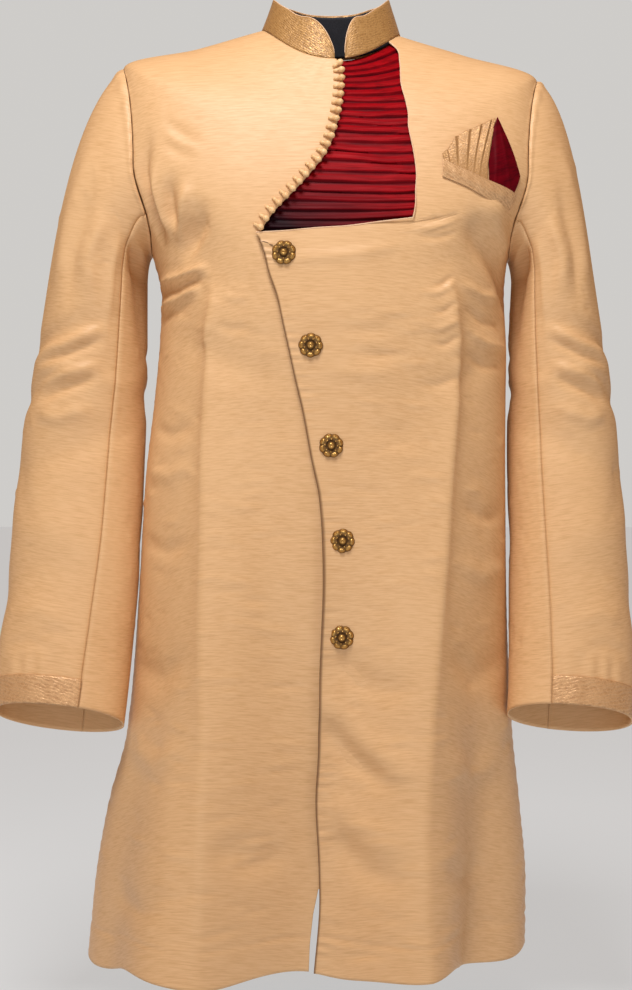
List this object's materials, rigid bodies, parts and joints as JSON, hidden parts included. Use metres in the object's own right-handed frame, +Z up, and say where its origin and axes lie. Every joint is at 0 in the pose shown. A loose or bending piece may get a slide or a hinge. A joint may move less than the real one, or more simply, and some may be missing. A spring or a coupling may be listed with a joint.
{
  "type": "sherwani",
  "caption": "Knee-length sherwani coat in cream silk, asymmetric overlap with domed buttons, tucked inset, stand collar",
  "frame": {"origin": "on the axis of the neck opening, level with the highest shoulder point, where the wearer's shoulders hold the garment up", "axes": "+Z up along the body, the front of the garment faces -Y, the wearer's left is +X"},
  "size_m": [0.6688, 0.3463, 1.0189],
  "materials": {
    "silk": "slubbed raw silk with a soft sheen",
    "brocade": "dull gold brocade",
    "burgundy": "burgundy silk with a soft sheen",
    "facing": "dark matt lining cloth",
    "tissue": "sheer gold tissue",
    "antique_gold": "antique gold with dark hollows"
  },
  "bodies": {
    "root": {"front_left": "silk", "front_right": "silk", "back_left": "silk", "back_right": "silk", "inset": "burgundy", "sleeve_left_top": "silk", "sleeve_left_under": "silk", "sleeve_right_top": "silk", "sleeve_right_under": "silk", "cuff_left": "brocade", "cuff_right": "brocade", "collar": "brocade", "collar_facing": "facing", "pocket_welt": "brocade", "square_fan": "tissue", "square_point": "burgundy", "button_1": "antique_gold", "button_2": "antique_gold", "button_3": "antique_gold", "button_4": "antique_gold", "button_5": "antique_gold", "bead_01": "silk", "bead_02": "silk", "bead_03": "silk", "bead_04": "silk", "bead_05": "silk", "bead_06": "silk", "bead_07": "silk", "bead_08": "silk", "bead_09": "silk", "bead_10": "silk", "bead_11": "silk", "bead_12": "silk", "bead_13": "silk", "bead_14": "silk", "bead_15": "silk", "bead_16": "silk", "bead_17": "silk", "bead_18": "silk", "bead_19": "silk", "bead_20": "silk", "bead_21": "silk", "bead_22": "silk"}
  },
  "joints": []
}
